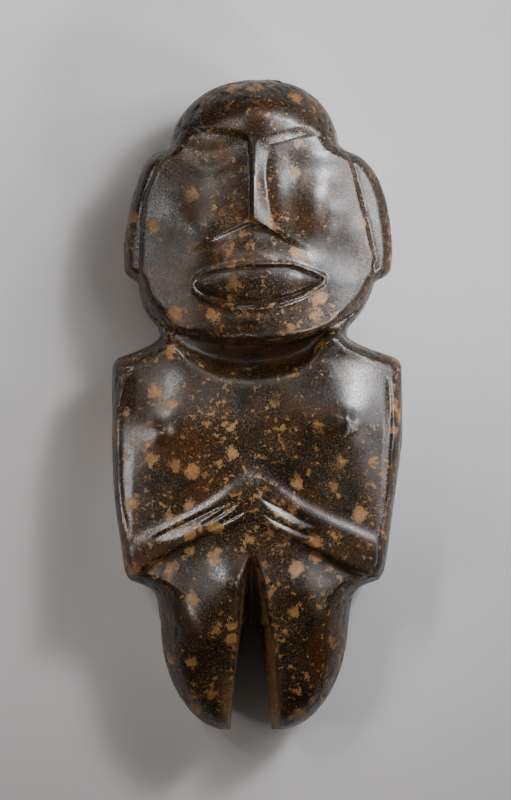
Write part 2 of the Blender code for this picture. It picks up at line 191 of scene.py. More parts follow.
def half_width(y):
    into_crown = np.clip((y - 100 + CROWN_RADIUS) / CROWN_RADIUS, 0, 1)
    crown = CROWN_HALF * (1 - into_crown**CROWN_POWER) ** (1 / CROWN_POWER)
    down_leg = np.clip((LEG_TOP - y) / LEG_TOP, 0, 1)
    leg = TOE_HALF + LEG_SWELL * (1 - down_leg**LEG_POWER) ** (1 / LEG_POWER)
    return np.where(y > 100 - CROWN_DEPTH, crown, np.where(y < LEG_TOP, leg, side_width(y)))


def inset(x, y):
    """Distance in from the outline, no more than reach; y is one value per row of x."""
    reach = 9.0
    level = np.concatenate([1 - np.cos(np.linspace(0, math.pi / 2, 9))[:-1], np.linspace(1, 98, 150)])
    level = np.concatenate([level, 100 - 2 * (1 - np.sin(np.linspace(0, math.pi / 2, 12)))[1:]])
    width = half_width(level)
    from_axis = np.abs(x - side_drift(y))
    nearest = np.minimum(np.abs(half_width(y) - from_axis), np.minimum(y, reach))
    for k in range(len(level) - 1):
        rows = np.flatnonzero(np.abs(y[:, 0] - level[k]) < reach + 1)
        if len(rows) == 0:
            continue
        across = from_axis[rows] - width[k]
        along = y[rows] - level[k]
        run = (width[k + 1] - width[k], level[k + 1] - level[k])
        t = np.clip((across * run[0] + along * run[1]) / (run[0] ** 2 + run[1] ** 2), 0, 1)
        gap = np.hypot(across - t * run[0], along - t * run[1])
        nearest[rows] = np.minimum(nearest[rows], gap)
    return nearest


# Broad form: level of the front and back along the axis, how far they fall
# away sideways, and how wide their rounded rims are.

middle_level = curve_through(
    [
        (0, 7.6), (14, 8.2), (28, 8.6), (60, 8.6),
        (75, 9.4), (92, 9.8), (100, 10.4),
    ]
)
front_level = curve_through(
    [
        (0, 14.2), (6, 15.3), (12, 16.3), (19, 17.2), (34, 17.6),
        (46, 17.8), (57, 16.4), (62, 18.4), (80, 19.2), (93, 18.8), (100, 17),
    ]
)
front_fall = curve_through(
    [
        (0, 2.5), (20, 2.2), (30, 1.8), (44, 2.6), (56, 3.4),
        (62, 4.2), (80, 4.8), (92, 4.0), (100, 1.0),
    ]
)
fall_power = curve_through([(0, 2.4), (57, 2.4), (62, 1.9), (92, 1.9), (100, 2.4)])
front_rim = curve_through(
    [
        (0, 4.8), (14, 7.0), (20, 6.0), (26, 2.4), (56, 2.4),
        (62, 3.6), (70, 2.0), (87, 2.0), (90, 3.4), (93, 6.2), (97, 8.2), (100, 9.0),
    ]
)
rim_power = curve_through([(0, 2.1), (20, 2.1), (26, 2.9), (56, 2.9), (62, 2.3), (100, 2.3)])
back_level = curve_through(
    [
        (0, 3.2), (6, 2.2), (12, 1.2), (20, 0.4),
        (28, 0), (84, 0), (92, 0.7), (100, 1.8),
    ]
)
back_fall = curve_through([(0, 0.8), (60, 0.9), (66, 1.6), (92, 2.4), (100, 1.0)])
back_rim = curve_through([(0, 4.0), (14, 5.0), (56, 4.6), (64, 5.5), (92, 8.0), (100, 8.5)])


def rim_rounding(depth, width, power):
    t = np.clip(depth / width, 0, 1)
    return (1 - (1 - t) ** power) ** (1 / power)


# Leg slot.

slot_left = curve_through(
    [
        (0, 3.55), (2.5, 3.5), (7, 2.9), (12, 2.3),
        (16, 2.0), (20, 1.75), (24, 1.1), (27.8, 0.25),
    ]
)
slot_right = curve_through(
    [
        (0, 4.4), (4, 4.3), (9, 4.1), (13, 3.7),
        (17, 3.1), (21, 2.4), (24, 1.8), (27.8, 0.7),
    ]
)
wall_power = curve_through([(0, 1.1), (10, 1.3), (16.7, 2.0), (29, 2.0)])


def hole_half_width(y):
    below = np.clip(HOLE_TOP - y, 0, None)
    return 0.85 * np.sqrt(below) - 0.018 * below


def slot_cut(x, y, top, apex):
    """Level of the sawn slot over the middle plane."""
    aside = np.abs(x - CENTRE_X)
    lip = np.where(x < CENTRE_X, slot_left(y), slot_right(y))
    hole = hole_half_width(y)
    sunk = np.clip((apex - y) / (apex - HOLE_TOP), 0, 1)
    web = top * (1 - (1 - WEB_SHARE) * np.sin(sunk * math.pi / 2) ** 1.15)
    floor = np.where(y < HOLE_TOP, 0, web)
    share = np.clip((aside - hole) / (lip - hole), 0, 1)
    return floor + (top - floor) * share ** wall_power(y) + 1.5 * np.clip(aside - lip, 0, None)


# Head.

brow_line = curve_through(
    [
        (-16, 92.9), (-12, 92.9), (-7.2, 92.3), (-3.4, 91.8), (-1, 91.2),
        (0.5, 90.9), (2.8, 91.4), (4.7, 91.9), (6.6, 92.4), (9.5, 92.7), (16, 92.6),
    ]
)
nose_flank_left = curve_through([(75, 0.9), (78, 0.7), (84, 0.6), (87, 0.8), (90, 0.8)])
nose_flank_right = curve_through(
    [(75, 2.9), (78.2, 2.5), (80.5, 2.1), (83.2, 1.7), (85.4, 1.5), (88, 1.7)]
)
upper_lip = curve_through(
    [
        (-9.8, 68.3), (-9, 69.2), (-7.4, 70), (-1.85, 70.95),
        (4.6, 71.1), (7.4, 70.3), (10.4, 69.1),
    ]
)
lower_lip = curve_through(
    [
        (-9.8, 68.2), (-9, 67.2), (-7.4, 66.3), (-2.8, 65.4),
        (1.9, 65.6), (6, 66.6), (10.4, 69.0),
    ]
)
ear_line_left = curve_through(
    [
        (66, 17.9), (76.3, 17.7), (80.9, 17.3),
        (84, 16.2), (88.1, 14.2), (92, 12.0),
    ]
)
ear_line_right = curve_through(
    [
        (66, 17.9), (72.1, 18.0), (75.5, 17.3),
        (80.1, 16.3), (88.1, 14.0), (92, 12.0),
    ]
)
jaw_line = curve_through(
    [
        (-18, 66), (-13.4, 61.9), (-8.8, 60.4), (-3.9, 59.8),
        (1.9, 59.8), (6.9, 60.5), (10.6, 61.9), (18, 66.5),
    ]
)
collar_line = curve_through(
    [
        (-16, 60.9), (-12.9, 59.2), (-9.4, 56.9), (-5.5, 55.2), (-1, 54.7),
        (3.4, 55.2), (7.4, 56.9), (11.3, 60.4), (16, 61.8),
    ]
)


def brow_and_nose(x, y, above_tent):
    """Sunk eye planes, the T of brow and nose rolling over to them, and the eyelids."""
    aside = x - RIDGE_X
    keel = -0.09 * (np.sqrt((aside - 0.8) ** 2 + 0.5) - 0.7) * rise(y - FOREHEAD, 1.5)
    outside = -smooth_max(y - brow_line(x), -np.abs(aside), 1.2)
    flank = nose_flank_left(y) + (nose_flank_right(y) - nose_flank_left(y)) * rise(aside, 0.3)
    down = roll_over(outside / flank)
    depth = EYE_DEPTH * (0.90 + 0.10 * np.tanh(x / 3)) * (1 - 0.30 * np.clip(np.abs(x) / 14, 0, 1) ** 2)
    eye_plane = depth * stripe(y - FOREHEAD + 1, 9.0)
    nose = NOSE_RISE * rise(84.0 - y, 3.2) * above_tent
    above_lid = y - LID[1] - 0.075 * (x - LID[0]) ** 2
    lid = 0.09 * stripe(above_lid + 0.2, 1.0) - 0.15 * stripe(above_lid - 2.2, 1.3)
    lid = lid * stripe(x - LID[0], 4.4)
    right_eye = 0.30 * mound(x, y, (8.8, 88.0), (3.4, 1.9)) + 0.35 * mound(x, y, (3.0, 82.2), (2.0, 5.0))
    return keel + nose * (1 - down) - eye_plane * down + lid + right_eye


def mouth(x, y):
    """A lens sunk behind crisp lips, its floor swelling in the middle."""
    top = upper_lip(x)
    bottom = lower_lip(x)
    gape = np.maximum(top - bottom, 0.05)
    up = np.clip((y - bottom) / gape, 0, 1)
    floor = 1.05 - 0.70 * np.clip(4 * up * (1 - up), 0, 1) ** 0.8
    inside = rise(np.minimum(top - y, y - bottom), 0.14)
    lips = 0.28 * stripe(y - top - 0.30, 0.42) + 0.30 * stripe(bottom - 0.25 - y, 0.42)
    chin_crease = 0.30 * stripe(bottom - 1.3 - y, 0.8) * stripe(x - 1, 8)
    span = between(x, MOUTH_ENDS[0], MOUTH_ENDS[1], 0.12)
    return (lips - chin_crease - floor * inside * np.clip(gape / 3.5, 0, 1)) * span


def head(x, y):
    tent = TENT_TOP - TENT_SLOPE * np.sqrt((x - CENTRE_X) ** 2 + 0.1)
    below_tent = rise(tent - y, 0.20)
    z = brow_and_nose(x, y, 1 - below_tent)
    near_nose = np.exp(-((np.abs(x - CENTRE_X) / 5.2) ** 2.5)) * stripe(np.clip(tent - y, 0, None), 3.0)
    z -= 1.3 * near_nose * below_tent
    z += 1.2 * mound(x, y, (-8.6, 75.8), (4.6, 5.2)) + 1.1 * mound(x, y, (10.0, 80.6), (4.4, 5.0))
    muzzle_x = (x - MUZZLE_CENTRE[0]) / MUZZLE_RADII[0]
    muzzle_y = np.clip(y - MUZZLE_CENTRE[1], 0, None) / MUZZLE_RADII[1]
    z += (0.80 + 0.25 * np.tanh(x / 6)) * rise(1 - np.hypot(muzzle_x, muzzle_y), 0.25)
    z += mouth(x, y)
    z -= FACE_KEEL * (np.sqrt((x - RIDGE_X) ** 2 + 1) - 1)
    past_ear_line = np.abs(x) - np.where(x < 0, ear_line_left(y), ear_line_right(y))
    ear = 0.40 * rise(past_ear_line, 0.22) + 0.12 * stripe(past_ear_line - 0.1, 0.35)
    return z - ear * between(y, EAR_ENDS[0], EAR_ENDS[1], 0.35)


def neck(x, y):
    """The deep groove between the jaw and the collar."""
    depth = 3.9 * np.exp(-((np.abs(x) / 13.0) ** 4)) + 0.5
    return -depth * rise(jaw_line(x) - y, 0.30) * rise(y - collar_line(x) - 0.5, 0.9)


# Body.

band_low = curve_through(
    [
        (-19.5, 23.2), (-14.3, 27.1), (-7.9, 30.2), (-2.0, 32.3), (-0.4, 32.7),
        (1, 31.9), (6.4, 29.2), (14, 25.3), (19.5, 22.3),
    ]
)
band_high = curve_through(
    [
        (-19.5, 29.5), (-9.4, 34.5), (-5, 37.4), (-2.5, 39.2), (-0.4, 40.4),
        (0.6, 39.9), (3.4, 38), (7.4, 35.3), (19.5, 29.6),
    ]
)
arm_left_outer = curve_through(
    [
        (29.5, 19.3), (32.7, 20.2), (35.7, 20.7), (40.1, 21.0),
        (44.0, 21.1), (49.0, 21.0), (52.7, 20.6), (55.4, 19.8),
    ]
)
arm_left_inner = curve_through([(29.5, 19.2), (33.6, 19.0), (41.3, 18.9), (49.0, 18.7), (55.4, 18.5)])
arm_right_outer = curve_through(
    [(27.0, 18.7), (33.4, 19.3), (38.5, 19.8), (45.5, 20.3), (51.0, 20.4), (54.2, 20.1)]
)
arm_right_inner = curve_through([(27.0, 18.3), (33.4, 18.3), (38.5, 18.6), (45.5, 19.2), (54.2, 19.6)])


def hand_groove(x, y, start, end, sag, width, depth):
    """A groove ground along a line, with a short upper wall and a long lower slope."""
    run = end[0] - start[0]
    fall = end[1] - start[1]
    t = (x - start[0]) / run
    on = np.clip(4 * t * (1 - t), 0, 1)
    off = (y - start[1] - fall * t - sag * on) * math.cos(math.atan2(fall, abs(run)))
    wall = np.clip(1 - off / GROOVE_WALL, 0, 1)
    reach = width * (0.15 + 0.85 * on) * (1.25 - 0.5 * np.clip(t, 0, 1))
    slope = np.clip(1 + off / reach, 0, 1)
    return -depth * on**0.8 * np.where(off > 0, wall, slope**1.1)


def arm_groove(x, y, side, outer, inner, ends):
    """A crescent that slopes down from the chest to a short wall along the arm."""
    out = outer(y)
    into = inner(y)
    slope = np.clip((side * x - into) / np.maximum(out - into, 0.05), 0, 1)
    wall = np.clip((out - side * x) / ARM_WALL + 1, 0, 1)
    depth = ARM_DEPTH * np.clip((out - into) / 1.2, 0, 1) * between(y, ends[0], ends[1], 0.3)
    return -depth * np.minimum(slope, wall)


def body(x, y):
    z = -0.75 * mound(x, y, (-0.8, 47.5), (5.5, 8.5))
    for centre in BREASTS:
        out = np.hypot((x - centre[0]) / BREAST_RADII[0], (y - centre[1]) / BREAST_RADII[1])
        z += 0.9 * np.exp(-(out**1.7)) + 0.70 * mound(x, y, centre, (1.2, 1.5))
    low = band_low(x)
    high = band_high(x)
    outwards = np.clip(np.abs(x) / 16, 0, 1)
    z -= (0.35 + 0.75 * outwards) * rise(low - y, 0.35) * stripe(np.clip(low - y, 0, None), 6.0)
    upper_edge = 0.9 + 1.1 * stripe(x - RIDGE_X, 3.0)
    z += 0.55 * rise(y - low, 0.5) * rise(high - 0.5 - y, upper_edge)
    for cut in HAND_GROOVES:
        z += hand_groove(x, y, *cut)
    z += 0.12 * stripe(x - RIDGE_X, 0.6) * between(y, 33.5, 40, 1.0)
    z += arm_groove(x, y, -1, arm_left_outer, arm_left_inner, (29.5, 55.6))
    z += arm_groove(x, y, 1, arm_right_outer, arm_right_inner, (27.0, 54.4))
    z += 1.05 * mound(x, y, (-3.8, 22.4), (3.8, 3.8)) + 0.90 * mound(x, y, (-8.6, 15.8), (4.4, 5.0))
    z += 0.50 * mound(x, y, (5.0, 22.6), (4.0, 3.2)) + 0.65 * mound(x, y, (9.0, 18.6), (4.8, 5.6))
    return z


# Whole surfaces.


def front(x, y):
    rim = rim_rounding(inset(x, y), front_rim(y), rim_power(y))
    crown = front_level(y) - front_fall(y) * np.clip(np.abs(x) / 20, 0, 1.2) ** fall_power(y)
    on_head = rise(y - jaw_line(x) + 0.4, 0.15)
    relief = head(x, y) * on_head + body(x, y) * rise(57 - y, 1.5) + neck(x, y)
    top = (crown - middle_level(y)) * rim
    z = top + relief * np.clip(rim * 1.3 - 0.3, 0, 1)
    cut = slot_cut(x, y, np.maximum(top, 0.01), FRONT_APEX)
    z = np.where(y < FRONT_APEX, smooth_min(z, cut, 0.12), z)
    return middle_level(y) + np.maximum(z, 0)


def back(x, y):
    rim = rim_rounding(inset(x, y), back_rim(y), 2.3)
    deep = middle_level(y) - back_level(y) - back_fall(y) * np.clip(np.abs(x) / 20, 0, 1.2) ** 2.6
    notches = 1.3 * stripe(y - 60.4, 1.7) + 0.7 * stripe(y - 22.0, 1.6)
    z = deep * rim - notches * np.clip(rim * 1.3 - 0.3, 0, 1)
    cut = slot_cut(x, y, np.maximum(deep * rim, 0.01), BACK_APEX)
    z = np.where(y < BACK_APEX, smooth_min(z, cut, 0.12), z)
    return middle_level(y) - np.maximum(z, 0)


# Fine mesh of the carved surface.

FRONT_COLUMNS = 92
BACK_COLUMNS = 24
TOES_TOP = 2
HANDS_FOOT = 26
HANDS_TOP = 42
CHEST_TOP = 54
CROWN_FOOT = 93.5
SECTION_SAMPLES = 420
OUTLINE_CROWDING = 1.8  # gathers a section's samples towards the outline
TOUCHING = 1e-6  # metres
SHARP_EDGE = math.radians(55)
CAVITY_ROUNDS = 36  # of smoothing, which the cavity is measured against
CAVITY_CONTRAST = 0.8


def levels():
    """Rows of points from toes to crown, closest across the hands and the face."""
    toes = TOES_TOP * (1 - np.cos(np.linspace(0, math.pi / 2, 15)))
    legs = np.linspace(TOES_TOP, HOLE_TOP, 49)[1:]
    hips = np.linspace(HOLE_TOP, HANDS_FOOT, 31)[1:]
    hands = np.linspace(HANDS_FOOT, HANDS_TOP, 76)[1:]
    chest = np.linspace(HANDS_TOP, CHEST_TOP, 31)[1:]
    face = np.linspace(CHEST_TOP, CROWN_FOOT, 181)[1:]
    crown = CROWN_FOOT + (100 - CROWN_FOOT) * np.sin(np.linspace(0, math.pi / 2, 29))[1:]
    return np.concatenate([toes, legs, hips, hands, chest, face, crown])[:, None]


def quarter_section(y, side, surface, columns):
    """From the outline to the middle of the figure, closer on the top than down the sides."""
    start = side_drift(y) + side * half_width(y)
    steady = np.clip(half_width(y) / 4, 0, 1)
    end = side_drift(y) + (CENTRE_X - side_drift(y)) * steady + side * hole_half_width(y)
    t = np.linspace(0, 1, SECTION_SAMPLES) ** OUTLINE_CROWDING
    x = start + (end - start) * t
    z = surface(x, y)
    # the last term keeps the run growing where a section has shrunk to a point
    length = np.abs(np.diff(x, axis=1)) + 0.5 * np.abs(np.diff(z, axis=1)) + 1e-9
    run = np.concatenate([np.zeros_like(y), np.cumsum(length, axis=1)], axis=1)
    even = np.linspace(0, 1, columns + 1)
    x = np.stack([np.interp(even * row[-1], row, across) for row, across in zip(run, x)])
    # the lowest row closes to one point, and add_quarter gives it one level
    toe = x[0].mean()
    x[0] = toe
    return x, surface(x, y)


def add_quarter(mesh, side, surface, columns, upwards):
    """One side of the front or back; returns its innermost points at and under the hole's top."""
    y = levels()
    x, z = quarter_section(y, side, surface, columns)
    z[0] = middle_level(0.0)
    y = np.broadcast_to(y, x.shape)
    z = np.maximum(z - GROUND_LEVEL, 0)
    points = np.stack([x, y - 50, z], axis=-1) * UNIT
    grid = [[mesh.verts.new(point) for point in row] for row in points]
    for low, high in zip(grid, grid[1:]):
        for i in range(len(low) - 1):
            face = [low[i], low[i + 1], high[i + 1], high[i]]
            if (side > 0) == upwards:
                face.reverse()
            mesh.faces.new(face)
    at_hole_top = int(np.argmin(np.abs(y[:, 0] - HOLE_TOP)))
    return grid[at_hole_top][-1], grid[at_hole_top - 1][-1]


def carved_stone():
    mesh = bmesh.new()
    front_top, left_edge = add_quarter(mesh, -1, front, FRONT_COLUMNS, True)
    _, right_edge = add_quarter(mesh, 1, front, FRONT_COLUMNS, True)
    back_top, _ = add_quarter(mesh, -1, back, BACK_COLUMNS, False)
    add_quarter(mesh, 1, back, BACK_COLUMNS, False)
    # the underside of the web, where the slot goes right through
    mesh.faces.new([front_top, left_edge, back_top])
    mesh.faces.new([front_top, back_top, right_edge])
    bmesh.ops.remove_doubles(mesh, verts=mesh.verts, dist=TOUCHING)
    bmesh.ops.dissolve_degenerate(mesh, dist=TOUCHING, edges=mesh.edges)
    bmesh.ops.recalc_face_normals(mesh, faces=mesh.faces)
    data = bpy.data.meshes.new("figurine_carved")
    mesh.to_mesh(data)
    mesh.free()
    wear(data)
    data.shade_smooth()
    data.set_sharp_from_angle(angle=SHARP_EDGE)
    add_cavity(data)
    piece = bpy.data.objects.new("figurine_carved", data)
    bpy.context.scene.collection.objects.link(piece)
    return piece


def points_and_normals(data):
    """Places in hundredths of the height and unit normals, one row per point."""
    place = np.empty(len(data.vertices) * 3)
    data.vertices.foreach_get("co", place)
    normal = np.empty(len(data.vertices) * 3)
    data.vertices.foreach_get("normal", normal)
    return place.reshape(-1, 3) / UNIT, normal.reshape(-1, 3)


def wear(data):
    """Hand-ground unevenness all over, and small nicks along the turned edges."""
    place, normal = points_and_normals(data)
    # edges are where the surface turns over to the sides, clear of the ground
    upwards = normal[:, 2]
    at_edge = np.clip(5 * (0.78 - upwards), 0, 1) * np.clip(5 * (upwards + 0.3), 0, 1)
    at_edge = at_edge * (place[:, 2] > 4)
    moved = np.empty(len(place))
    for i, point in enumerate(place):
        at = Vector(point)
        uneven = 0.10 * noise.noise(at / 7.0) + 0.030 * noise.noise(at / 2.6)
        nick = max(noise.noise(at / 0.9 + Vector((7, 3, 1))) - 0.18, 0)
        chip = max(noise.noise(at / 2.3 + Vector((1, 5, 9))) - 0.30, 0)
        moved[i] = uneven - at_edge[i] * (0.40 * nick + 0.55 * chip)
    resting = np.clip(place[:, 2] / 1.5, 0, 1)
    place = place + normal * (moved * resting)[:, None]
    place[:, 2] = np.maximum(place[:, 2], 0)
    data.vertices.foreach_set("co", (place * UNIT).ravel())
    data.update()


def add_cavity(data):
    """Stores on each point how far it lies in a hollow (over 0.5) or on a ridge (under 0.5)."""
    place, normal = points_and_normals(data)
    count = len(place)
    ends = np.empty(len(data.edges) * 2, dtype=np.int32)
    data.edges.foreach_get("vertices", ends)
    a, b = ends.reshape(-1, 2).T
    degree = np.maximum(np.bincount(np.concatenate([a, b]), minlength=count), 1)
    smooth = place.copy()
    for _ in range(CAVITY_ROUNDS):
        total = [
            np.bincount(a, smooth[b, k], count) + np.bincount(b, smooth[a, k], count)
            for k in range(3)
        ]
        smooth = np.stack(total).T / degree[:, None]
    hollow = np.einsum("ij,ij->i", smooth - place, normal)
    attribute = data.attributes.new("cavity", "FLOAT", "POINT")
    attribute.data.foreach_set("value", np.clip(0.5 + CAVITY_CONTRAST * hollow, 0, 1))


# Stone. In its nodes places and spacings are in metres, and noise scales are per metre.


class Nodes:
    """Short calls for building a node tree."""

    def __init__(self, material):
        material.use_nodes = True
        self.tree = material.node_tree
        self.tree.nodes.clear()

    def add(self, kind, inputs=(), **settings):
        node = self.tree.nodes.new(kind)
        for name, value in settings.items():
            setattr(node, name, value)
        for socket, value in dict(inputs).items():
            self.set(node.inputs[socket], value)
        return node

    def set(self, socket, value):
        if isinstance(value, bpy.types.NodeSocket):
            self.tree.links.new(value, socket)
        else:
            socket.default_value = value

    def math(self, operation, a, b=0.0, clamp=False):
        return self.add("ShaderNodeMath", {0: a, 1: b}, operation=operation, use_clamp=clamp).outputs[0]

    def plus(self, a, b):
        return self.math("ADD", a, b)

    def minus(self, a, b):
        return self.math("SUBTRACT", a, b)

    def times(self, a, b):
        return self.math("MULTIPLY", a, b)

    def away(self, value, middle):
        """How far a value is from the middle one."""
        return self.math("ABSOLUTE", self.minus(value, middle))

    def distance(self, place, centre):
        node = self.add("ShaderNodeVectorMath", {0: place, 1: centre}, operation="DISTANCE")
        return node.outputs["Value"]

    def noise(self, vector, scale, detail=4.0, roughness=0.55, distortion=0.0):
        inputs = {"Vector": vector, "Scale": scale, "Detail": detail}
        inputs.update({"Roughness": roughness, "Distortion": distortion})
        return self.add("ShaderNodeTexNoise", inputs).outputs["Fac"]

    def step(self, value, low, high):
        """0 below low, 1 above high, smooth between; high may be the lower."""
        inputs = {"Value": value, "From Min": low, "From Max": high}
        node = self.add("ShaderNodeMapRange", inputs, interpolation_type="SMOOTHSTEP")
        return node.outputs["Result"]

    def mix(self, factor, a, b):
        node = self.add("ShaderNodeMix", data_type="RGBA")
        self.set(node.inputs[0], factor)
        self.set(node.inputs[6], a)
        self.set(node.inputs[7], b)
        return node.outputs[2]


def colour(red, green, blue):
    return (red, green, blue, 1.0)


BLACK = colour(0.0036, 0.0021, 0.0009)
BLACK_BROWN = colour(0.0115, 0.0048, 0.0013)
OLIVE_GREY = colour(0.0370, 0.0265, 0.0125)
BROWN = colour(0.0340, 0.0120, 0.0022)
OCHRE = colour(0.1900, 0.0820, 0.0180)
TAN = colour(0.3000, 0.1560, 0.0480)
PALE_TAN = colour(0.2700, 0.1800, 0.0950)
# the colour the deepest hollows are darkened towards: part deposit, part painted shade
DEPOSIT_AND_SHADE = colour(0.0240, 0.0125, 0.0055)
# painted light: a lighter brown for the shaded walls of the leg slot
SLOT_PAINTED_LIGHT = colour(0.1700, 0.0950, 0.0430)

CHEST_MIDDLE = (-0.003, -0.018, 0.045)
POLISHED_THIGH = (-0.026, -0.077, 0.042)
BLOTCH_SPACING = 0.0078
BLOTCH_RADII = (-0.0016, 0.0034)  # the cells with a radius below 0 stay empty
RAGGED_BY = 0.0040  # how far the blotches' edges are pulled about


class StoneParts:
    """What several layers of the stone need: places, masks and the two finest grains."""

    def __init__(self, nodes):
        self.place = nodes.add("ShaderNodeTexCoord").outputs["Object"]
        axes = nodes.add("ShaderNodeSeparateXYZ", {"Vector": self.place}).outputs
        self.across = axes["X"]
        self.along = axes["Y"]
        self.above = axes["Z"]
        self.cavity = nodes.add("ShaderNodeAttribute", attribute_name="cavity").outputs["Fac"]
        self.on_head = nodes.step(self.along, 0.018, 0.050)
        self.grain = nodes.noise(self.place, 1750, 3, 0.62)
        self.fine = nodes.noise(self.place, 2600, 2, 0.6)


def dark_ground(nodes, parts):
    """Black and brown clouds with an olive-grey grain and a little tan dust."""
    place = parts.place
    cloud = nodes.noise(place, 42, 4, 0.6)
    haze = nodes.noise(place, 75, 5, 0.65, 0.5)
    brown = nodes.step(nodes.noise(place, 58, 5, 0.68, 0.6), 0.47, 0.64)
    lit_grain = nodes.times(nodes.step(parts.grain, 0.40, 0.66), nodes.step(haze, 0.36, 0.62))
    dust = nodes.times(nodes.step(parts.grain, 0.58, 0.70), nodes.step(parts.fine, 0.42, 0.60))
    ground = nodes.mix(nodes.step(cloud, 0.40, 0.60), BLACK, BLACK_BROWN)
    ground = nodes.mix(nodes.times(lit_grain, 0.9), ground, OLIVE_GREY)
    ground = nodes.mix(nodes.times(brown, 0.75), ground, BROWN)
    return nodes.mix(nodes.times(dust, 0.35), ground, TAN)


def mottling_amount(nodes, parts):
    """Where mottles gather: on the chest and lower legs, less on the head and one thigh."""
    amount = nodes.noise(parts.place, 38, 3, 0.55)
    worn = nodes.step(parts.cavity, 0.46, 0.30)
    chest = nodes.step(nodes.distance(parts.place, CHEST_MIDDLE), 0.032, 0.008)
    thigh = nodes.step(nodes.distance(parts.place, POLISHED_THIGH), 0.017, 0.009)
    shins = nodes.step(parts.along, -0.075, -0.100)
    shares = [(parts.on_head, -0.060), (worn, 0.05), (chest, 0.09), (thigh, -0.14), (shins, 0.07)]
    for mask, share in shares:
        amount = nodes.plus(amount, nodes.times(mask, share))
    return amount


def blotches(nodes, place, spacing, small, large):
    """Rounded blotches of their own sizes, one in most cells of the given spacing."""
    cells = nodes.add("ShaderNodeTexVoronoi", {"Vector": place, "Scale": 1 / spacing, "Randomness": 1.0})
    chance = nodes.add("ShaderNodeSeparateColor", {"Color": cells.outputs["Color"]}).outputs[0]
    sizes = {"Value": chance, "To Min": small / spacing, "To Max": large / spacing}
    size = nodes.add("ShaderNodeMapRange", sizes).outputs["Result"]
    edge = nodes.minus(size, cells.outputs["Distance"])
    fray = nodes.times(nodes.minus(nodes.noise(place, 4.5 / spacing, 5, 0.7), 0.5), 1.1)
    return nodes.step(nodes.plus(edge, fray), -0.05, 0.07)


def ragged_place(nodes, place):
    """The place, pulled about so that edges drawn with it are ragged."""
    inputs = {"Vector": place, "Scale": 330.0, "Detail": 6.0, "Roughness": 0.72}
    pull = nodes.add("ShaderNodeTexNoise", inputs).outputs["Color"]
    pull = nodes.add("ShaderNodeVectorMath", {0: pull, 1: (0.5, 0.5, 0.5)}, operation="SUBTRACT")
    pull = nodes.add("ShaderNodeVectorMath", {0: pull.outputs[0], "Scale": RAGGED_BY}, operation="SCALE")
    return nodes.add("ShaderNodeVectorMath", {0: place, 1: pull.outputs[0]}, operation="ADD").outputs[0]


def mottles(nodes, parts):
    """Blotches, flecks and specks of tan, broken by fine cracks and grain."""
    place = parts.place
    amount = mottling_amount(nodes, parts)
    small = nodes.plus(nodes.noise(place, 390, 4, 0.60, 0.3), nodes.times(amount, 0.30))
    tiny = nodes.plus(nodes.noise(place, 900, 3, 0.62), nodes.times(amount, 0.20))
    blotch = blotches(nodes, ragged_place(nodes, place), BLOTCH_SPACING, *BLOTCH_RADII)
    blotch = nodes.times(blotch, nodes.step(amount, 0.36, 0.50))
    fleck = nodes.times(nodes.step(small, 0.752, 0.800), 0.85)
    speck = nodes.times(nodes.step(tiny, 0.740, 0.790), 0.55)
    mottle = nodes.math("MAXIMUM", nodes.math("MAXIMUM", blotch, fleck), speck)
    crack = nodes.step(nodes.away(nodes.noise(place, 700, 4, 0.7, 0.5), 0.5), 0.012, 0.045)
    gritty = nodes.step(parts.fine, 0.34, 0.55)
    mottle = nodes.times(mottle, nodes.plus(nodes.times(crack, 0.55), 0.45))
    return nodes.times(mottle, nodes.plus(nodes.times(gritty, 0.5), 0.5))


def mottle_colour(nodes, parts):
    tan = nodes.mix(nodes.step(nodes.noise(parts.place, 210, 3, 0.6), 0.35, 0.65), OCHRE, TAN)
    return nodes.mix(nodes.times(nodes.step(parts.fine, 0.56, 0.72), 0.35), tan, PALE_TAN)


def veins(nodes, parts):
    """Fine pale lines, mostly on the head."""
    bent = nodes.noise(parts.place, 66, 7, 0.72, 1.0)
    line = nodes.step(nodes.away(bent, 0.5), 0.0060, 0.0010)
    line = nodes.times(line, nodes.step(nodes.noise(parts.place, 90, 2, 0.5), 0.46, 0.60))
    return nodes.times(line, nodes.plus(nodes.times(parts.on_head, 0.60), 0.15))


def hollows(nodes, parts):
    """The deepest cuts, darkened: partly a deposit where polish and cleaning don't reach, partly painted
    shade.
    """
    patchy = nodes.step(nodes.noise(parts.place, 260, 4, 0.6), 0.25, 0.6)
    return nodes.times(nodes.step(parts.cavity, 0.62, 0.86), patchy)


def slot_walls_painted_light(nodes, parts):
    """The sawn walls between the legs, where a lighter brown is painted light that the lamps don't bring
    into the slot.
    """
    aside = nodes.away(parts.across, CENTRE_X * UNIT)
    inside = nodes.times(nodes.step(aside, 0.013, 0.009), nodes.step(parts.along, -0.050, -0.060))
    return nodes.times(inside, nodes.step(parts.above, 0.040, 0.033))


def polish(nodes, parts, mottle, deep):
    """Roughness: polished ground, duller on the mottles, in the hollows and along worn edges."""
    rubbed = nodes.noise(parts.place, 110, 5, 0.65)
    spread = {"Value": rubbed, "From Min": 0.3, "From Max": 0.7, "To Min": 0.20, "To Max": 0.28}
    rough = nodes.add("ShaderNodeMapRange", spread).outputs["Result"]
    rough = nodes.plus(rough, nodes.times(mottle, 0.16))
    rough = nodes.plus(rough, nodes.times(nodes.step(parts.grain, 0.46, 0.66), 0.08))
    rough = nodes.plus(rough, nodes.times(nodes.step(parts.cavity, 0.44, 0.30), 0.04))
    return nodes.math("ADD", rough, nodes.times(deep, 0.12), clamp=True)


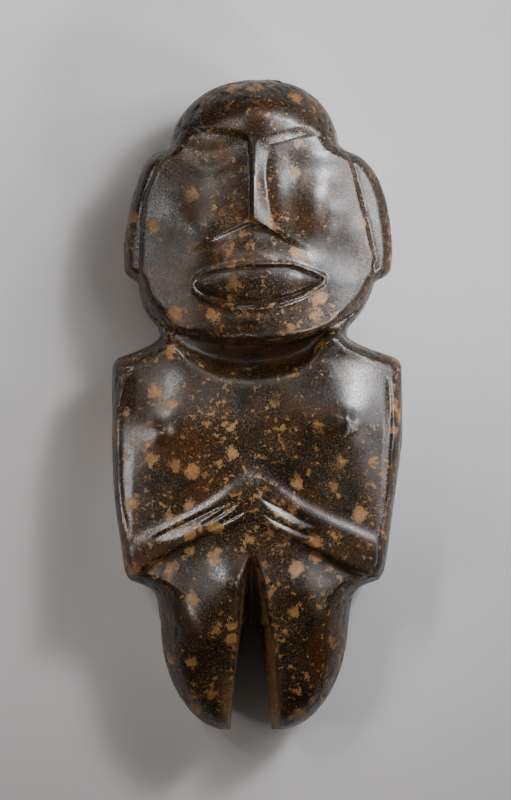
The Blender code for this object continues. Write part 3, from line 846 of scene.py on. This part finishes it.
def fine_relief(nodes, parts, mottle):
    """Normal bent by unevenness, grain, pits and faint scratches; heights in metres."""
    place = parts.place
    turned = {"Vector": place, "Rotation": (0, 0, 0.9), "Scale": (90, 2600, 90)}
    scratch_place = nodes.add("ShaderNodeMapping", turned).outputs["Vector"]
    pits = nodes.step(nodes.noise(place, 1700, 2, 0.6), 0.64, 0.72)
    height = nodes.times(nodes.noise(place, 105, 3, 0.5), 0.00022)
    height = nodes.plus(height, nodes.times(pits, -0.00003))
    height = nodes.plus(height, nodes.times(mottle, -0.000025))
    height = nodes.plus(height, nodes.times(parts.fine, 0.000022))
    height = nodes.plus(height, nodes.times(parts.grain, 0.000022))
    height = nodes.plus(height, nodes.times(nodes.noise(scratch_place, 1.0, 2, 0.6), 0.000010))
    bump = nodes.add("ShaderNodeBump", {"Height": height, "Strength": 0.8, "Distance": 1.0})
    return bump.outputs["Normal"]


def stone():
    material = bpy.data.materials.new("mottled_polished_stone")
    nodes = Nodes(material)
    parts = StoneParts(nodes)
    mottle = mottles(nodes, parts)
    deep = hollows(nodes, parts)
    surface = nodes.mix(mottle, dark_ground(nodes, parts), mottle_colour(nodes, parts))
    surface = nodes.mix(veins(nodes, parts), surface, PALE_TAN)
    # darkens the deepest hollows: part deposit, part painted shade
    surface = nodes.mix(nodes.times(deep, 0.5), surface, DEPOSIT_AND_SHADE)
    # painted light: the walls of the leg slot lightened towards a brown
    surface = nodes.mix(nodes.times(slot_walls_painted_light(nodes, parts), 0.75), surface, SLOT_PAINTED_LIGHT)
    rough = polish(nodes, parts, mottle, deep)
    shader = nodes.add("ShaderNodeBsdfPrincipled", {"Base Color": surface, "Roughness": rough, "IOR": 1.5})
    nodes.set(shader.inputs["Normal"], fine_relief(nodes, parts, mottle))
    nodes.add("ShaderNodeOutputMaterial", {"Surface": shader.outputs[0]})
    return material


piece = carved_stone()
piece.data.materials.append(stone())
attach(piece, "root")
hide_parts(NODE)


# Floor, lights and camera.

FLOOR_GAP = 0.0002  # keeps the floor and the ground back from sharing one plane


def floor():
    mesh = bmesh.new()
    bmesh.ops.create_grid(mesh, x_segments=1, y_segments=1, size=3.0)
    data = bpy.data.meshes.new("floor")
    mesh.to_mesh(data)
    mesh.free()
    ground = bpy.data.objects.new("floor", data)
    ground.location.z = LOW[2] - FLOOR_GAP
    bpy.context.scene.collection.objects.link(ground)
    material = bpy.data.materials.new("pale_floor")
    nodes = Nodes(material)
    place = nodes.add("ShaderNodeTexCoord").outputs["Object"]
    tone = nodes.mix(nodes.noise(place, 6, 3, 0.5), colour(0.50, 0.49, 0.48), colour(0.56, 0.55, 0.54))
    shader = nodes.add("ShaderNodeBsdfPrincipled", {"Base Color": tone, "Roughness": 0.8})
    nodes.add("ShaderNodeOutputMaterial", {"Surface": shader.outputs[0]})
    data.materials.append(material)


COOL = (0.95, 0.96, 1.0)
WARM = (1.0, 0.93, 0.87)
MIDDLE = (0, 0, 0.04)
HEAD = (0, 0.08, 0.04)


def add_lamp(data, place, aim, power, tint):
    """Links a lamp at a place, facing a point of the figure."""
    data.energy = power
    data.color = tint
    lamp = bpy.data.objects.new(data.name, data)
    lamp.location = place
    lamp.rotation_euler = (Vector(place) - Vector(aim)).to_track_quat("Z", "Y").to_euler()
    bpy.context.scene.collection.objects.link(lamp)


def softbox(name, place, aim, size, power, tint):
    data = bpy.data.lights.new(name, "AREA")
    data.shape = "RECTANGLE"
    data.size, data.size_y = size
    add_lamp(data, place, aim, power, tint)


def spot(name, place, aim, radius, cone, power, tint):
    """A round lamp whose beam is cone degrees wide."""
    data = bpy.data.lights.new(name, "SPOT")
    data.shadow_soft_size = radius
    data.spot_size = math.radians(cone)
    data.spot_blend = 0.6
    add_lamp(data, place, aim, power, tint)


def studio():
    """Soft lamps for the whole figure, and narrow ones for the marks of light on its polish."""
    softbox("key", (0.42, 0.38, 0.52), HEAD, (0.20, 0.16), 2.6, COOL)
    softbox("key_core", (0.41, 0.37, 0.51), HEAD, (0.09, 0.07), 1.8, COOL)
    softbox("key_glow", (0.46, 0.40, 0.50), HEAD, (0.62, 0.46), 3.4, COOL)
    softbox("left", (-0.53, 0.0, 0.34), MIDDLE, (0.12, 0.40), 0.45, WARM)
    softbox("fill", (-0.34, 0.39, 0.63), MIDDLE, (0.36, 0.28), 0.4, WARM)
    softbox("room", (-0.2, 1.6, 1.5), (0, 0, 0), (1.2, 1.2), 3, WARM)
    spot("face", (0.525, 0.154, 0.32), HEAD, 0.12, 17, 14.0, COOL)
    spot("under", (0.352, -0.339, 0.331), HEAD, 0.07, 11, 20.0, COOL)
    spot("under_side", (0.524, -0.111, 0.312), HEAD, 0.09, 15, 16.0, COOL)
    spot("brow", (0.303, 0.255, 0.646), HEAD, 0.17, 15, 5.0, COOL)
    spot("ridge", (0.41, 0.044, 0.606), HEAD, 0.14, 15, 7.0, COOL)
    spot("forehead", (0.398, 0.564, 0.134), (0.0166, 0.112, 0.04), 0.12, 5, 1.5, COOL)
    spot("eyelid", (-0.30, 0.26, 0.545), (-0.018, 0.0925, 0.043), 0.03, 3.0, 3.5, WARM)
    spot("cheek", (0.481, 0.274, 0.389), (0.0285, 0.0818, 0.045), 0.05, 5, 4.0, COOL)
    spot("left_cheek", (-0.508, 0.161, 0.387), (-0.0258, 0.0676, 0.043), 0.06, 6.5, 5.0, COOL)
    spot("chin", (-0.02, 0.28, 0.585), (0.002, 0.0345, 0.047), 0.08, 5, 3.0, WARM)
    spot("jaw", (-0.109, -0.509, 0.298), (-0.015, 0.027, 0.044), 0.05, 5, 8.0, COOL)
    spot("collarbone", (0.017, 0.372, 0.519), (-0.0208, 0.0129, 0.04), 0.05, 6, 2.0, COOL)
    spot("right_arm", (0.60, 0.02, 0.24), (0.045, -0.005, 0.035), 0.06, 12, 3.5, COOL)
    spot("left_arm", (-0.312, -0.025, 0.18), (-0.05, -0.025, 0.035), 0.035, 12, 1.3, WARM)
    spot("hands", (-0.33, 0.38, 0.62), (-0.01, -0.045, 0.04), 0.04, 12, 4.0, WARM)
    spot("hip", (-0.283, 0.178, 0.519), (-0.0154, -0.0634, 0.04), 0.05, 7, 9.0, COOL)
    spot("right_hip", (0.503, -0.157, 0.393), (0.0254, -0.073, 0.04), 0.08, 6, 3.0, COOL)
    spot("thigh", (-0.473, -0.07, 0.441), (-0.026, -0.077, 0.04), 0.09, 7, 14.0, COOL)
    spot("legs", (-0.36, -0.02, 0.53), (-0.02, -0.07, 0.04), 0.14, 14, 2.5, WARM)
    spot("shin", (-0.25, -0.28, 0.56), (-0.022, -0.095, 0.04), 0.12, 9, 1.2, WARM)


def world():
    sky = bpy.data.worlds.new("studio")
    sky.use_nodes = True
    background = sky.node_tree.nodes["Background"]
    background.inputs["Color"].default_value = colour(1.0, 0.88, 0.75)
    background.inputs["Strength"].default_value = 0.05
    bpy.context.scene.world = sky


# The photograph's frame and where the figure's axis, toes and crown lie in it.
IMAGE_SIZE = (511, 800)
AXIS_PX = 257.0
TOES_PX = 730.0
CROWN_PX = 81.0
OUTLINE_LEVEL = 8.6  # height of the widest outline over the floor, in hundredths
CAMERA_DISTANCE = 1.25
SENSOR_HEIGHT = 36.0  # millimetres


def camera():
    metres_per_px = (HIGH[1] - LOW[1]) / (TOES_PX - CROWN_PX)
    data = bpy.data.cameras.new("camera")
    data.sensor_fit = "VERTICAL"
    data.sensor_height = SENSOR_HEIGHT
    data.lens = SENSOR_HEIGHT * CAMERA_DISTANCE / (IMAGE_SIZE[1] * metres_per_px)
    data.clip_start = 0.01
    view = bpy.data.objects.new("camera", data)
    view.location.x = (IMAGE_SIZE[0] / 2 - AXIS_PX) * metres_per_px
    view.location.y = ((TOES_PX + CROWN_PX) / 2 - IMAGE_SIZE[1] / 2) * metres_per_px
    view.location.z = OUTLINE_LEVEL * UNIT + CAMERA_DISTANCE
    bpy.context.scene.collection.objects.link(view)
    bpy.context.scene.camera = view


floor()
world()
studio()
camera()
